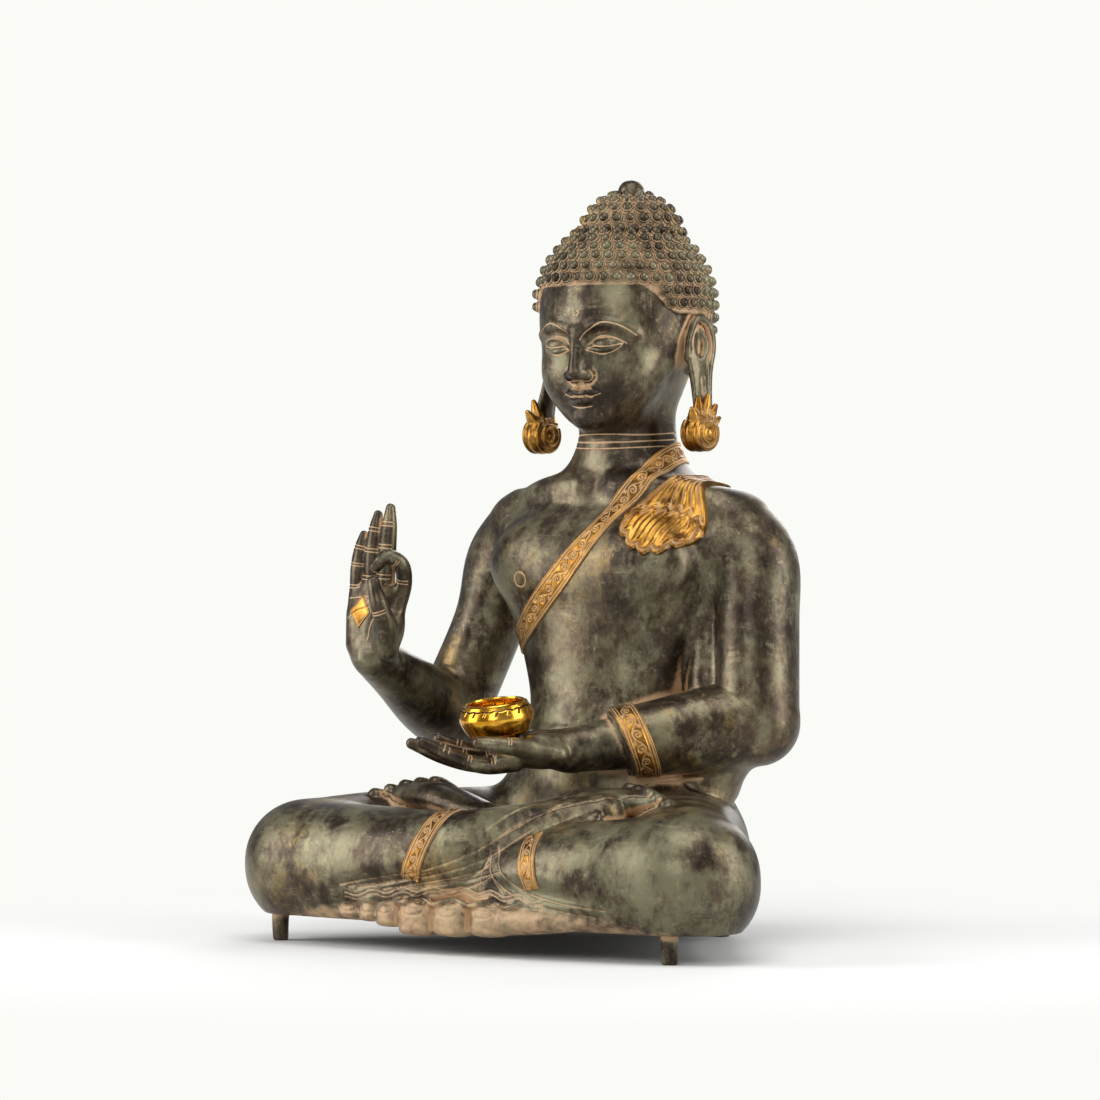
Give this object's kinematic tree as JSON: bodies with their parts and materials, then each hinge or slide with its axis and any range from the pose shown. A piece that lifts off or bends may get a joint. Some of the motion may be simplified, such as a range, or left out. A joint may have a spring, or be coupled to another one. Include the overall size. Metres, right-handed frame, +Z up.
{
  "type": "seated buddha statue",
  "caption": "Seated cast bronze Buddha in the teaching gesture, with a lift-off alms bowl in the left hand, gilt robe borders and short pegs under the hollow seat.",
  "frame": {"origin": "under the middle of the statue, on the surface that its pegs stand on", "axes": "+Z up, the figure faces -Y, its left side is +X"},
  "size_m": [0.4614, 0.3114, 0.6028],
  "materials": {
    "patinated_bronze": "cast bronze, dark brown patina with green verdigris and pale dust in the recesses, satin",
    "gilt_ornament": "gilded relief with engraved scrolls, tan dust in the lines",
    "polished_bowl": "polished bright brass, dark engraved petal line",
    "bare_brass": "turned and drilled brass inside the joints"
  },
  "bodies": {
    "figure": {"seat_casting": "patinated_bronze", "torso_casting": "patinated_bronze", "head_casting": "patinated_bronze", "right_arm_casting": "patinated_bronze", "left_arm_casting": "patinated_bronze", "right_hand": "patinated_bronze", "left_hand": "patinated_bronze", "topknot_bud": "patinated_bronze", "right_earring": "gilt_ornament", "left_earring": "gilt_ornament", "front_right_peg": "patinated_bronze", "front_left_peg": "patinated_bronze", "rear_right_peg": "patinated_bronze", "rear_left_peg": "patinated_bronze", "chest_border": "gilt_ornament", "shoulder_clasp": "gilt_ornament", "cuff_border": "gilt_ornament", "right_shin_border": "gilt_ornament", "left_shin_border": "gilt_ornament", "palm_lozenge": "gilt_ornament", "waist_sleeve": "bare_brass", "waist_pin_inner": "bare_brass", "waist_pin_outer": "bare_brass", "neck_sleeve": "bare_brass", "neck_pin_inner": "bare_brass", "neck_pin_outer": "bare_brass", "right_shoulder_sleeve": "bare_brass", "right_shoulder_pin_inner": "bare_brass", "right_shoulder_pin_outer": "bare_brass", "left_shoulder_sleeve": "bare_brass", "left_shoulder_pin_inner": "bare_brass", "left_shoulder_pin_outer": "bare_brass", "right_wrist_dowel": "bare_brass", "left_wrist_dowel": "bare_brass", "bowl_stud": "bare_brass"},
    "bowl": {"alms_bowl": "polished_bowl"}
  },
  "joints": [
    {"name": "bowl_lift", "type": "slide", "parent": "figure", "child": "bowl", "axis": [-0.0197, -0.1676, 0.9857], "range_m": [0, 0.06]}
  ]
}
